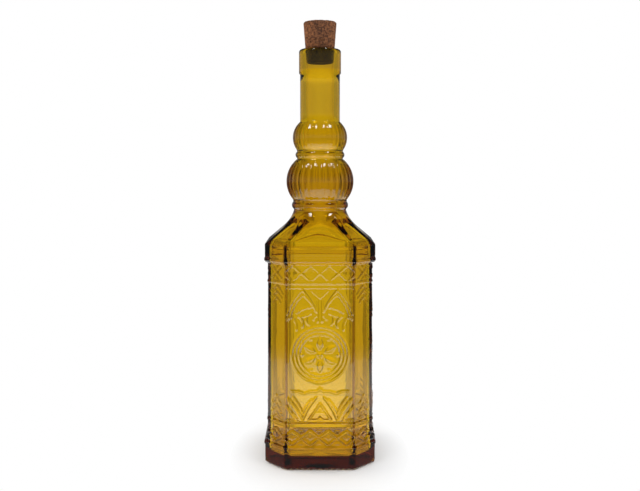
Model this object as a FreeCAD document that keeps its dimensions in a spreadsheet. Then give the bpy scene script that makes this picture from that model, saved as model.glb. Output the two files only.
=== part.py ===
"""A square decorative pressed-glass bottle with a fluted bulb neck, and its tapered cork.

Millimetres, +Z up, origin at the centre of the base, front face towards -Y.
The glass is one hollow solid. Its square part is what four long blocks have in common, one for each pair
of opposite facets, so that every bead runs round the cut corners with mitred ends. Its neck is turned.
The cork is a second solid, which stands in the mouth.
"""

import FreeCAD, Part
import math
import os

import Sketcher

SHEET = "sizes"
FACET_SIDES = ("flat", "diagonal")
BULBS = ("lower_bulb", "upper_bulb")

# Driving dimensions in millimetres; flute_count, slope_share and throat_cone_slope are plain numbers and
# flute_sweep is an angle in degrees.
DRIVING = [
    # the square part, across its flats
    ("body_width", 77.0),
    ("body_taper", 1.6),
    ("collar_spread", 2.8),
    ("foot_spread", 4.0),
    ("corner_cut", 13.6),
    # heights of its stages, from the base up
    ("foot_height", 14.4),
    ("flare_height", 11.4),
    ("plinth_height", 3.1),
    ("panel_height", 99.6),
    ("frieze_height", 11.5),
    ("collar_height", 9.2),
    # its small forms
    ("foot_round", 2.5),
    ("collar_step", 1.0),
    ("collar_lip", 0.3),
    ("wide_bead", 3.6),
    ("wide_bead_radius", 2.8),
    ("thin_bead", 2.8),
    ("thin_bead_radius", 2.1),
    ("slope_rise", 10.2),
    ("slope_share", 0.59),
    ("bend_rise", 12.0),
    ("throat_width", 39.8),
    ("throat_cone_slope", 0.72),
    # neck, from the shoulder up
    ("lower_waist", 1.8),
    ("lower_waist_radius", 19.6),
    ("ring_bead", 5.4),
    ("ring_bead_radius", 3.6),
    ("lower_bulb_height", 29.6),
    ("lower_bulb_foot_radius", 20.1),
    ("lower_bulb_head_radius", 18.0),
    ("lower_bulb_curve", 21.2),
    ("groove_height", 1.5),
    ("upper_waist_radius", 17.1),
    ("slim_bead", 4.6),
    ("slim_bead_radius", 2.8),
    ("upper_bulb_height", 20.6),
    ("upper_bulb_foot_radius", 17.4),
    ("upper_bulb_head_radius", 14.4),
    ("upper_bulb_curve", 15.2),
    ("neck_diameter", 29.4),
    ("neck_height", 34.6),
    ("finish_diameter", 31.0),
    ("finish_height", 18.2),
    ("finish_round", 2.0),
    ("flute_count", 32),
    ("flute_radius", 1.3),
    ("flute_depth", 0.5),
    ("flute_sweep", 78.0),
    # inside
    ("wall", 4.0),
    ("base_thickness", 8.4),
    ("cavity_round", 4.5),
    ("throat_bore", 25.2),
    ("throat_bend", 5.2),
    ("lower_bulb_bore_curve", 31.0),
    ("waist_bore", 24.6),
    ("upper_bulb_bore_curve", 23.0),
    ("neck_bore", 20.7),
    ("mouth_depth", 14.0),
    ("punt_inset", 21.0),
    ("punt_slope", 6.0),
    ("punt_rise", 1.5),
    # cork
    ("cork_top_diameter", 24.6),
    ("cork_bottom_diameter", 20.0),
    ("cork_length", 30.2),
    ("cork_depth", 10.4),
    ("cork_edge", 0.8),
    ("cork_clearance", 0.05),
]

# Lengths that follow from the driving ones, as formulas of the sheet. A flat is half the width across
# opposite flat facets, and a diagonal half the width across opposite cut corners.
DERIVED = [
    ("body_top_width", "body_width - body_taper"),
    ("collar_width", "body_width + collar_spread"),
    ("foot_width", "body_width + foot_spread"),
    ("slope_end_width", "collar_width - slope_share * (collar_width - throat_width)"),
    ("foot_flat", "foot_width / 2"),
    ("body_flat", "body_width / 2"),
    ("body_top_flat", "body_top_width / 2"),
    ("collar_flat", "collar_width / 2"),
    ("slope_end_flat", "slope_end_width / 2"),
    ("throat_flat", "throat_width / 2"),
    ("body_diagonal", "(body_width - corner_cut) / sqrt(2)"),
    ("body_top_diagonal", "body_diagonal + body_top_flat - body_flat"),
    ("foot_diagonal", "body_diagonal + foot_flat - body_flat"),
    ("collar_diagonal", "body_diagonal + collar_flat - body_flat"),
    ("slope_end_diagonal", "slope_end_flat * collar_diagonal / collar_flat"),
    ("throat_diagonal", "throat_flat * collar_diagonal / collar_flat"),
    ("bore_flat", "throat_bore / 2"),
    ("bore_diagonal", "bore_flat * collar_diagonal / collar_flat"),
    # heights above the base
    ("foot_bead_top", "foot_height + wide_bead"),
    ("flare_top", "foot_bead_top + flare_height"),
    ("sill_bottom", "flare_top + plinth_height"),
    ("panel_bottom", "sill_bottom + thin_bead"),
    ("panel_top", "panel_bottom + panel_height"),
    ("frieze_bottom", "panel_top + thin_bead"),
    ("frieze_top", "frieze_bottom + frieze_height"),
    ("collar_bottom", "frieze_top + collar_step"),
    ("collar_face", "collar_bottom + wide_bead"),
    ("collar_top", "collar_face + collar_height"),
    ("slope_top", "collar_top + slope_rise"),
    ("shoulder_top", "slope_top + bend_rise"),
    ("ring_bottom", "shoulder_top + lower_waist"),
    ("ring_top", "ring_bottom + ring_bead"),
    ("lower_bulb_bottom", "ring_top + groove_height"),
    ("lower_bulb_top", "lower_bulb_bottom + lower_bulb_height"),
    ("slim_bottom", "lower_bulb_top + groove_height"),
    ("slim_top", "slim_bottom + slim_bead"),
    ("upper_bulb_bottom", "slim_top + groove_height"),
    ("upper_bulb_top", "upper_bulb_bottom + upper_bulb_height"),
    ("finish_bottom", "upper_bulb_top + neck_height"),
    ("finish_lower_edge", "finish_bottom + finish_round / 2"),
    ("mouth", "finish_bottom + finish_height"),
    ("finish_upper_edge", "mouth - finish_round"),
    # turned radii
    ("neck_radius", "neck_diameter / 2"),
    ("finish_radius", "finish_diameter / 2"),
    ("finish_top_radius", "finish_radius - finish_round"),
    ("bore_radius", "neck_bore / 2"),
    ("cork_top_radius", "cork_top_diameter / 2"),
    ("cork_bottom_radius", "cork_bottom_diameter / 2"),
    ("cork_taper", "(cork_top_radius - cork_bottom_radius) / cork_length"),
    ("mouth_radius", "cork_bottom_radius + cork_taper * cork_depth + cork_clearance"),
    ("cork_bottom", "mouth - cork_depth"),
    ("cork_top", "cork_bottom + cork_length"),
    ("cork_lower_edge", "cork_bottom + cork_edge"),
    ("cork_upper_edge", "cork_top - cork_edge"),
    ("cork_bottom_face", "cork_bottom_radius - cork_edge"),
    ("cork_top_face", "cork_top_radius - cork_edge"),
    ("cork_lower_radius", "cork_bottom_radius + cork_taper * cork_edge"),
    ("cork_upper_radius", "cork_top_radius - cork_taper * cork_edge"),
    ("punt_radius", "(foot_width - punt_inset) / 2"),
    ("punt_top_radius", "punt_radius - punt_slope"),
    # the cones that round the shoulder's ridges off below the neck, outside and inside
    ("cone_reach", "collar_width"),
    ("cone_bottom", "shoulder_top - (cone_reach - throat_flat) * throat_cone_slope"),
    ("vault_cone_bottom", "inner_bend_end_flat - (cone_reach - bore_flat) * throat_cone_slope"),
    # the inside of the neck, and the underside
    ("mouth_bottom", "mouth - mouth_depth"),
    ("waist_inside", "waist_bore / 2"),
    ("cavity_spring", "base_thickness + cavity_round"),
    ("flare_width", "foot_flat - body_flat"),
    ("flare_radius", "(flare_height^2 + flare_width^2) / (2 * flare_width)"),
]


def shoulder_formulas(side):
    """The shoulder's slope and bends on one kind of facet, outside and inside.

    The inside slope is the outside one moved in by the wall, and both bends start in line with it."""
    return [
        (f"foot_face_{side}", f"foot_{side} - foot_round"),
        (f"lip_{side}", f"collar_{side} - collar_lip"),
        (f"slope_run_{side}", f"collar_{side} - slope_end_{side}"),
        (f"slope_length_{side}", f"sqrt(slope_run_{side}^2 + slope_rise^2)"),
        (f"bend_run_{side}", f"slope_end_{side} - throat_{side}"),
        (f"bend_turn_{side}", f"slope_run_{side} * bend_rise - slope_rise * bend_run_{side}"),
        (
            f"bend_radius_{side}",
            f"(bend_run_{side}^2 + bend_rise^2) * slope_length_{side} / (2 * bend_turn_{side})",
        ),
        (f"inside_{side}", f"body_{side} - wall"),
        (f"inside_top_{side}", f"body_top_{side} - wall"),
        (f"inside_face_{side}", f"inside_{side} - cavity_round"),
        (f"pitch_{side}", f"slope_rise / slope_run_{side}"),
        (f"drop_{side}", f"wall * slope_length_{side} / slope_run_{side}"),
        (
            f"eaves_{side}",
            f"collar_top + (collar_{side} - inside_top_{side}) * pitch_{side} - drop_{side}",
        ),
        (f"vault_{side}", f"eaves_{side} + (inside_top_{side} - bore_{side}) * pitch_{side}"),
        (f"inner_bend_{side}", f"bore_{side} + throat_bend"),
        (f"inner_bend_start_{side}", f"vault_{side} - throat_bend * pitch_{side}"),
        (f"inner_tangent_{side}", f"throat_bend * slope_length_{side} / slope_run_{side}"),
        (f"inner_bend_end_{side}", f"vault_{side} + inner_tangent_{side}"),
        (
            f"inner_radius_{side}",
            f"inner_tangent_{side} * (slope_length_{side} + slope_rise) / slope_run_{side}",
        ),
    ]


def flute_formulas(bulb):
    """The centre and the size of the circle that a bulb's flutes follow, just outside its arc."""
    middle = f"({bulb}_bottom + {bulb}_top) / 2"
    lean = f"({bulb}_foot_radius - {bulb}_head_radius)"
    return [
        (f"{bulb}_chord", f"sqrt({bulb}_height^2 + {lean}^2)"),
        (f"{bulb}_depth", f"sqrt({bulb}_curve^2 - {bulb}_chord^2 / 4)"),
        (f"{bulb}_middle_radius", f"({bulb}_foot_radius + {bulb}_head_radius) / 2"),
        (f"{bulb}_centre", f"{bulb}_middle_radius - {bulb}_height / {bulb}_chord * {bulb}_depth"),
        (f"{bulb}_centre_height", f"{middle} - {lean} / {bulb}_chord * {bulb}_depth"),
        (f"{bulb}_flute_path", f"{bulb}_curve + flute_radius - flute_depth"),
    ]


def make_sheet(doc):
    """Writes the driving dimensions and the formulas to the sheet, and returns their values by name."""
    sheet = doc.addObject("Spreadsheet::Sheet", SHEET)
    formulas = [*DERIVED, *(row for side in FACET_SIDES for row in shoulder_formulas(side))]
    formulas += [row for bulb in BULBS for row in flute_formulas(bulb)]
    contents = [(name, str(value)) for name, value in DRIVING]
    contents += [(name, f"={formula}") for name, formula in formulas]
    for row, (name, _) in enumerate(contents, start=1):
        sheet.set(f"A{row}", name)
        sheet.setAlias(f"B{row}", name)
    for row, (_, text) in enumerate(contents, start=1):
        sheet.set(f"B{row}", text)
    doc.recompute()
    return {name: float(sheet.get(name)) for name, _ in contents}


# ---------------------------------------------------------------- outlines
# An outline is a closed list of corners (x, z, curve). x and z name cells of the sheet, or are None on the
# axis or the base. curve says how a corner is joined to the next one: None is a straight line,
# (cell, 1) an arc of that radius that bulges away from the axis, and (cell, -1) one that is hollow.


def held(sketch, label, kind, geometry, end, cell, sign, size):
    """Holds one end of a drawn line at a cell's distance from the origin, along X or along Y."""
    if cell is None:
        axis = -2 if kind == "DistanceX" else -1
        sketch.addConstraint(Sketcher.Constraint("PointOnObject", geometry, end, axis))
        return
    constraint = Sketcher.Constraint(kind, -1, 1, geometry, end, sign * size[cell])
    sketch.renameConstraint(sketch.addConstraint(constraint), label)
    minus = "-" if sign < 0 else ""
    sketch.setExpression(f".Constraints.{label}", f"{minus}{SHEET}.{cell}")


def arc_between(start, end, radius, outward, side):
    """The short arc between two points, bulging away from the axis or towards it, and whether it is
    drawn from start to end: a drawn arc runs anticlockwise."""
    chord = end - start
    normal = FreeCAD.Vector(chord.y, -chord.x, 0).normalize()
    if normal.x * side < 0:
        normal = -normal
    centre = (start + end) / 2 - normal * outward * math.sqrt(radius**2 - (chord.Length / 2) ** 2)
    angles = [math.atan2(point.y - centre.y, point.x - centre.x) for point in (start, end)]
    forwards = (angles[1] - angles[0]) % (2 * math.pi) < math.pi
    first, last = angles if forwards else reversed(angles)
    circle = Part.Circle(centre, FreeCAD.Vector(0, 0, 1), radius)
    return Part.ArcOfCircle(circle, first, last), forwards


def draw(doc, name, corners, size, turn=0.0, doubled=True):
    """A sketch of an outline, standing upright and turned about the axis; every corner follows the sheet.

    A doubled outline is given as its right half, from the base up, and gets a mirrored left half."""
    sketch = doc.addObject("Sketcher::SketchObject", name)
    upright = FreeCAD.Rotation(FreeCAD.Vector(1, 0, 0), 90)
    turned = FreeCAD.Rotation(FreeCAD.Vector(0, 0, 1), turn)
    sketch.Placement = FreeCAD.Placement(FreeCAD.Vector(0, 0, 0), turned.multiply(upright))
    route = [(x, z, curve, 1) for x, z, curve in corners]
    if doubled:
        curves = [None, *(curve for _, _, curve in corners[:-1])]
        route += [(x, z, curves[i], -1) for i, (x, z, _) in reversed(list(enumerate(corners)))]
    value = {None: 0.0, **size}
    points = [FreeCAD.Vector(side * value[x], value[z], 0) for x, z, _, side in route]
    ends = []
    for i, (_, _, curve, side) in enumerate(route):
        start, end = points[i], points[(i + 1) % len(points)]
        if curve is None:
            ends.append((sketch.addGeometry(Part.LineSegment(start, end), False), 1, 2))
            continue
        radius, outward = curve
        arc, forwards = arc_between(start, end, size[radius], outward, side)
        index = sketch.addGeometry(arc, False)
        ends.append((index, 1, 2) if forwards else (index, 2, 1))
    for i, (x, z, curve, side) in enumerate(route):
        index, first, last = ends[i]
        following, its_first, _ = ends[(i + 1) % len(ends)]
        sketch.addConstraint(Sketcher.Constraint("Coincident", index, last, following, its_first))
        held(sketch, f"across{i}", "DistanceX", index, first, x, side, size)
        held(sketch, f"height{i}", "DistanceY", index, first, z, 1, size)
        if curve is not None:
            radius = Sketcher.Constraint("Radius", index, size[curve[0]])
            sketch.renameConstraint(sketch.addConstraint(radius), f"radius{i}")
            sketch.setExpression(f".Constraints.radius{i}", f"{SHEET}.{curve[0]}")
    return sketch


def outside_corners(side):
    """Right half of the outside of the square part, seen along one pair of facets."""
    return [
        (f"foot_face_{side}", None, ("foot_round", 1)),
        (f"foot_{side}", "foot_round", None),
        (f"foot_{side}", "foot_height", ("wide_bead_radius", 1)),
        (f"foot_{side}", "foot_bead_top", ("flare_radius", -1)),
        (f"body_{side}", "flare_top", None),
        (f"body_{side}", "sill_bottom", ("thin_bead_radius", 1)),
        (f"body_{side}", "panel_bottom", None),
        (f"body_top_{side}", "panel_top", ("thin_bead_radius", 1)),
        (f"body_top_{side}", "frieze_bottom", None),
        (f"body_top_{side}", "frieze_top", None),
        (f"lip_{side}", "collar_bottom", ("wide_bead_radius", 1)),
        (f"collar_{side}", "collar_face", None),
        (f"collar_{side}", "collar_top", None),
        (f"slope_end_{side}", "slope_top", (f"bend_radius_{side}", -1)),
        (f"throat_{side}", "shoulder_top", None),
    ]


def inside_corners(side):
    """Right half of the inside of the square part, a wall within the outside."""
    return [
        (f"inside_face_{side}", "base_thickness", ("cavity_round", 1)),
        (f"inside_{side}", "cavity_spring", None),
        (f"inside_top_{side}", f"eaves_{side}", None),
        (f"inner_bend_{side}", f"inner_bend_start_{side}", (f"inner_radius_{side}", -1)),
        (f"bore_{side}", f"inner_bend_end_{side}", None),
    ]


NECK_CORNERS = [
    (None, "slope_top", None),
    ("lower_waist_radius", "slope_top", None),
    ("lower_waist_radius", "ring_bottom", ("ring_bead_radius", 1)),
    ("lower_bulb_foot_radius", "ring_top", None),
    ("lower_bulb_foot_radius", "lower_bulb_bottom", ("lower_bulb_curve", 1)),
    ("lower_bulb_head_radius", "lower_bulb_top", None),
    ("upper_waist_radius", "slim_bottom", ("slim_bead_radius", 1)),
    ("upper_waist_radius", "slim_top", None),
    ("upper_bulb_foot_radius", "upper_bulb_bottom", ("upper_bulb_curve", 1)),
    ("upper_bulb_head_radius", "upper_bulb_top", None),
    ("neck_radius", "upper_bulb_top", None),
    ("neck_radius", "finish_bottom", None),
    ("finish_radius", "finish_lower_edge", None),
    ("finish_radius", "finish_upper_edge", ("finish_round", 1)),
    ("finish_top_radius", "mouth", None),
    (None, "mouth", None),
]

CORK_CORNERS = [
    (None, "cork_bottom", None),
    ("cork_bottom_face", "cork_bottom", None),
    ("cork_lower_radius", "cork_lower_edge", None),
    ("cork_upper_radius", "cork_upper_edge", None),
    ("cork_top_face", "cork_top", None),
    (None, "cork_top", None),
]

BORE_CORNERS = [
    (None, "inner_bend_start_flat", None),
    ("bore_flat", "inner_bend_start_flat", None),
    ("bore_flat", "ring_top", ("lower_bulb_bore_curve", 1)),
    ("waist_inside", "slim_bottom", None),
    ("waist_inside", "slim_top", ("upper_bulb_bore_curve", 1)),
    ("bore_radius", "upper_bulb_top", None),
    ("bore_radius", "mouth_bottom", None),
    ("mouth_radius", "mouth", None),
    (None, "mouth", None),
]

SHOULDER_CONE_CORNERS = [
    (None, None, None),
    ("cone_reach", None, None),
    ("cone_reach", "cone_bottom", None),
    ("throat_flat", "shoulder_top", None),
    (None, "shoulder_top", None),
]

VAULT_CONE_CORNERS = [
    (None, None, None),
    ("cone_reach", None, None),
    ("cone_reach", "vault_cone_bottom", None),
    ("bore_flat", "inner_bend_end_flat", None),
    (None, "inner_bend_end_flat", None),
]

PUNT_CORNERS = [
    (None, None, None),
    ("punt_radius", None, None),
    ("punt_top_radius", "punt_rise", None),
    (None, "punt_rise", None),
]


# ---------------------------------------------------------------- solids


def turned(doc, name, corners, size):
    """A solid turned about the bottle's axis."""
    solid = doc.addObject("Part::Revolution", name)
    solid.Source = draw(doc, f"{name}_outline", corners, size, doubled=False)
    solid.Axis = FreeCAD.Vector(0, 0, 1)
    solid.Angle = 360
    solid.Solid = True
    return solid


def faceted(doc, name, corners_of, cone, size):
    """What four upright blocks, each as wide as one pair of facets allows, and a cone have in common."""
    solid = doc.addObject("Part::MultiCommon", name)
    blocks = []
    for quarter in range(4):
        turn = quarter * 45
        corners = corners_of(FACET_SIDES[quarter % 2])
        block = doc.addObject("Part::Extrusion", f"{name}_block_{turn}")
        block.Base = draw(doc, f"{name}_outline_{turn}", corners, size, turn)
        block.DirMode = "Normal"
        block.Symmetric = True
        block.Solid = True
        block.setExpression("LengthFwd", f"{SHEET}.cone_reach * 2")
        blocks.append(block)
    solid.Shapes = [*blocks, cone]
    return solid


def flutes(doc, bulb, size):
    """The upright hollows round a bulb, each a bent round bar that sinks into its curve."""
    bars = []
    for number in range(int(size["flute_count"])):
        turn = 360.0 * (number + 0.5) / size["flute_count"]
        bar = doc.addObject("Part::Torus", f"{bulb}_flute_{number}")
        bar.setExpression("Radius1", f"{SHEET}.{bulb}_flute_path")
        bar.setExpression("Radius2", f"{SHEET}.flute_radius")
        bar.setExpression("Angle3", f"{SHEET}.flute_sweep")
        start = FreeCAD.Rotation(FreeCAD.Vector(0, 0, 1), -size["flute_sweep"] / 2)
        upright = FreeCAD.Rotation(FreeCAD.Vector(1, 0, 0), 90)
        about = FreeCAD.Rotation(FreeCAD.Vector(0, 0, 1), turn)
        bar.Placement = FreeCAD.Placement(FreeCAD.Vector(), about.multiply(upright).multiply(start))
        bar.setExpression(".Placement.Base.x", f"{SHEET}.{bulb}_centre * cos({turn})")
        bar.setExpression(".Placement.Base.y", f"{SHEET}.{bulb}_centre * sin({turn})")
        bar.setExpression(".Placement.Base.z", f"{SHEET}.{bulb}_centre_height")
        bars.append(bar)
    return bars


def fused(doc, name, shapes):
    whole = doc.addObject("Part::MultiFuse", name)
    whole.Shapes = shapes
    return whole


def cut(doc, name, base, tool):
    rest = doc.addObject("Part::Cut", name)
    rest.Base = base
    rest.Tool = tool
    return rest


def make_bottle(doc, size):
    """The hollow glass: a faceted body under a turned neck, less the cavity, the bore and the punt."""
    shoulder_cone = turned(doc, "shoulder_cone", SHOULDER_CONE_CORNERS, size)
    body = faceted(doc, "body", outside_corners, shoulder_cone, size)
    neck = turned(doc, "neck", NECK_CORNERS, size)
    grooves = doc.addObject("Part::Compound", "flutes")
    grooves.Links = [bar for bulb in BULBS for bar in flutes(doc, bulb, size)]
    fluted_neck = cut(doc, "fluted_neck", neck, grooves)
    outside = fused(doc, "outside", [body, fluted_neck])
    vault_cone = turned(doc, "vault_cone", VAULT_CONE_CORNERS, size)
    cavity = faceted(doc, "cavity", inside_corners, vault_cone, size)
    bore = turned(doc, "bore", BORE_CORNERS, size)
    punt = turned(doc, "punt", PUNT_CORNERS, size)
    inside = fused(doc, "inside", [cavity, bore])
    hollow = cut(doc, "hollow", outside, inside)
    bottle = cut(doc, "bottle", hollow, punt)
    bottle.Label = "bottle"
    return bottle


def make_cork(doc, size):
    """The tapered stopper, pushed a little way into the mouth."""
    cork = turned(doc, "cork", CORK_CORNERS, size)
    cork.Label = "cork"
    return cork


def check(doc, pieces):
    """Stops the build where an object failed or a piece isn't one valid solid."""
    failed = [item.Name for item in doc.Objects if {"Invalid", "Error"} & set(item.State)]
    if failed:
        raise RuntimeError(f"objects failed: {failed}")
    for piece in pieces:
        if piece.Shape.isNull() or not piece.Shape.isValid() or len(piece.Shape.Solids) != 1:
            raise RuntimeError(f"{piece.Label} isn't one valid solid")


def main():
    doc = FreeCAD.newDocument("bottle_with_cork")
    size = make_sheet(doc)
    pieces = [make_bottle(doc, size), make_cork(doc, size)]
    doc.recompute()
    check(doc, pieces)
    os.makedirs("parts", exist_ok=True)
    for piece in pieces:
        piece.Shape.exportStep(os.path.join("parts", f"{piece.Label}.step"))
        box = piece.Shape.BoundBox
        litres = piece.Shape.Volume / 1e6
        print(f"{piece.Label}: {litres:.4f} litres of solid, {box.XLength:.1f} x {box.YLength:.1f}"
              f" x {box.ZLength:.1f} mm, bottom at {box.ZMin:.2f}")


main()
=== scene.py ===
"""The look of a square amber pressed-glass bottle and its cork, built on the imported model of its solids.

The shapes are worked out in millimetres, with the base's centre at the origin and the front towards -Y,
and put in their place in metres at the end."""

import math

import bmesh
import bpy
from mathutils import Matrix, Vector, noise


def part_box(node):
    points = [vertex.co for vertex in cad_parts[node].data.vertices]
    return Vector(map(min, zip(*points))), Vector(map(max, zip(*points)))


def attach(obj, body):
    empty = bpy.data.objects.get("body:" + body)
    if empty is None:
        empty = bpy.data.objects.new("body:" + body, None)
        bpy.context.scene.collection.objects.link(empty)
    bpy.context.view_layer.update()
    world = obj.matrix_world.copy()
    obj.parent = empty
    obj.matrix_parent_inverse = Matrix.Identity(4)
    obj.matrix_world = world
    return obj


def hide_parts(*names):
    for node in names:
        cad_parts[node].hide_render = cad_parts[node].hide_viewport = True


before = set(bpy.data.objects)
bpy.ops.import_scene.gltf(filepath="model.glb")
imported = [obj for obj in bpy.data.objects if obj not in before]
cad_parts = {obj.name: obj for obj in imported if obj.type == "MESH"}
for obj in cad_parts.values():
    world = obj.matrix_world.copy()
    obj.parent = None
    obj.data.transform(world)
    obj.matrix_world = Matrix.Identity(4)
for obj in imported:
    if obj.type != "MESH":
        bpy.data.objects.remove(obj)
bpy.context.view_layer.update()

MM = 0.001

# ---------------------------------------------------------------- sizes of the glass, in millimetres

# Across the square part: half widths over the broad faces, and what a cut corner adds to them.
FOOT_HALF = 40.5
BODY_HALF = 38.5
CHEVRONS_TOP_HALF = 38.3
MEDALLION_FOOT_HALF = 38.27
ARCHES_FOOT_HALF = 37.95
BODY_TOP_HALF = 37.7
COLLAR_EDGE_HALF = 39.6
COLLAR_HALF = 39.9
SLOPE_END_HALF = 28.1
THROAT_HALF = 19.9
CAVITY_HALF = 34.5
CAVITY_TOP_HALF = 33.7
CORNER_EXTRA = 6.33
CAVITY_CORNER_LESS = 0.9

# Heights of its stages.
FOOT_ROUND = 2.5
FOOT_TOP = 14.4
FOOT_BEAD_TOP = 18.0
FLARE_TOP = 29.4
SILL_BOTTOM = 32.5
PANEL_BOTTOM = 35.3
CHEVRONS_TOP = 59.5
MEDALLION_FOOT = 63.5
ARCHES_FOOT = 105.0
PANEL_TOP = 134.9
FRIEZE_BOTTOM = 137.7
FRIEZE_TOP = 149.2
COLLAR_BOTTOM = 150.2
COLLAR_FACE = 153.8
COLLAR_TOP = 163.0
COLLAR_EDGE_RISE = 0.25
SLOPE_TOP = 173.2
SHOULDER_TOP = 185.2
EAVES = 163.1
VAULT_BEND = 176.8
VAULT_TOP = 188.2

# Radii of its curved stretches, below 0 where they are hollow.
FOOT_BEAD_CURVE = 2.8
FLARE_CURVE = -33.5
PANEL_BEAD_CURVE = 2.1
COLLAR_BEAD_CURVE = 2.8
SHOULDER_CURVE = -27.5
VAULT_CURVE = -15.0

# The hollow under the foot, the flat rim round it that the bottle stands on, and the floor of the inside.
PUNT_RISE = 1.5
PUNT_TOP_RADIUS = 24
PUNT_RADIUS = 30
PUNT_EDGE = 0.3
RIM_RADIUS = 33
FLOOR = 8.4
CAVITY_ROUND = 4.5

# The neck, from the shoulder up: heights.
RING_FOOT_RISE = 0.6
RING_BOTTOM = 187.0
RING_TOP = 192.4
LOWER_BULB_BOTTOM = 193.9
LOWER_BULB_TOP = 223.5
SLIM_FOOT_DROP = 1.0
SLIM_BOTTOM = 225.0
SLIM_TOP = 229.6
UPPER_BULB_BOTTOM = 231.1
UPPER_BULB_TOP = 251.7
NECK_STEP = 0.3
FINISH_BOTTOM = 286.3
FINISH_STEP = 1.0
MOUTH_BOTTOM = 290.5
MOUTH = 304.5

# Its half widths.
RING_HALF = 19.6
LOWER_BULB_FOOT_HALF = 20.1
LOWER_BULB_HEAD_HALF = 18.0
SLIM_HALF = 17.1
UPPER_BULB_FOOT_HALF = 17.4
UPPER_BULB_HEAD_HALF = 15.1
NECK_HALF = 14.7
FINISH_HALF = 15.5
VAULT_BEND_HALF = 17.8
LOWER_BORE_HALF = 12.6
SLIM_BORE_HALF = 12.3
BORE_HALF = 10.35
MOUTH_HALF = 10.84

# The radii of its curves.
RING_CURVE = 3.6
LOWER_BULB_CURVE = 21.2
SLIM_CURVE = 2.8
UPPER_BULB_CURVE = 15.2
UPPER_BORE_CURVE = 23.0
LOWER_BORE_CURVE = 31.0
FINISH_ROUND = 2.0
MOUTH_EDGE = 0.3

# Between these heights the shoulder and the inside turn from eight-sided to round.
SHOULDER_TURN = (SHOULDER_TOP - 6.0, SHOULDER_TOP)
VAULT_TURN = (EAVES - 2, VAULT_TOP - 6)

# How finely each skin is divided round the bottle: columns on each of the eight sides, from the front
# anticlockwise seen from above. The front has the most.
BODY_COLUMNS = (90, 16, 56, 16, 60, 16, 56, 16)
NECK_COLUMNS = (36, 12) * 4
INNER_COLUMNS = (18, 6) * 4

# Half the angle that the columns of a broad and of a cut side take up where the bottle is round.
BROAD_SPAN, CUT_SPAN = math.radians(33), math.radians(12)

# How near two points are merged, and how short an edge is dissolved.
WELD = 0.002
SLIVER = 0.001


# ---------------------------------------------------------------- outlines

def traced(corners):
    """The points of an outline. A corner is (half width, height, radius, pieces): radius is that of the
    arc to the next corner, above 0 where it bulges outwards, below 0 where it is hollow and 0 where the
    stretch is straight, and pieces is how many parts the stretch is divided into."""
    points = []
    for (x, z, radius, pieces), (next_x, next_z, _, _) in zip(corners, corners[1:]):
        start, end = Vector((x, z)), Vector((next_x, next_z))
        if radius == 0:
            points += [start.lerp(end, i / pieces) for i in range(pieces)]
            continue
        chord = end - start
        outward = Vector((chord.y, -chord.x)).normalized()
        if outward.x < 0:
            outward = -outward
        side = math.copysign(1, radius)
        depth = math.sqrt(max(radius**2 - (chord.length / 2) ** 2, 0))
        centre = (start + end) / 2 - outward * side * depth
        first, last = start - centre, end - centre
        turn = first.angle_signed(last)
        points += [centre + Matrix.Rotation(-turn * i / pieces, 2) @ first for i in range(pieces)]
    return points + [Vector(corners[-1][:2])]


UNDERSIDE = traced([
    (0, PUNT_RISE, 0, 1),
    (PUNT_TOP_RADIUS, PUNT_RISE, 0, 1),
    (PUNT_RADIUS, PUNT_EDGE, 0, 1),
    (RIM_RADIUS, 0, 0, 4),
    (FOOT_HALF - FOOT_ROUND, 0, 0, 1),
])
BODY = traced([
    (FOOT_HALF - FOOT_ROUND, 0, FOOT_ROUND, 4),
    (FOOT_HALF, FOOT_ROUND, 0, 3),
    (FOOT_HALF, FOOT_TOP, FOOT_BEAD_CURVE, 6),
    (FOOT_HALF, FOOT_BEAD_TOP, FLARE_CURVE, 17),
    (BODY_HALF, FLARE_TOP, 0, 3),
    (BODY_HALF, SILL_BOTTOM, PANEL_BEAD_CURVE, 5),
    (BODY_HALF, PANEL_BOTTOM, 0, 32),
    (CHEVRONS_TOP_HALF, CHEVRONS_TOP, 0, 3),
    (MEDALLION_FOOT_HALF, MEDALLION_FOOT, 0, 60),
    (ARCHES_FOOT_HALF, ARCHES_FOOT, 0, 44),
    (BODY_TOP_HALF, PANEL_TOP, PANEL_BEAD_CURVE, 5),
    (BODY_TOP_HALF, FRIEZE_BOTTOM, 0, 17),
    (BODY_TOP_HALF, FRIEZE_TOP, 0, 2),
    (COLLAR_EDGE_HALF, COLLAR_BOTTOM, COLLAR_BEAD_CURVE, 5),
    (COLLAR_HALF, COLLAR_FACE, 0, 8),
    (COLLAR_HALF, COLLAR_TOP, 0, 1),
])
SHOULDER = traced([
    (COLLAR_EDGE_HALF, COLLAR_TOP + COLLAR_EDGE_RISE, 0, 5),
    (SLOPE_END_HALF, SLOPE_TOP, SHOULDER_CURVE, 10),
    (THROAT_HALF, SHOULDER_TOP, 0, 1),
])
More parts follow.
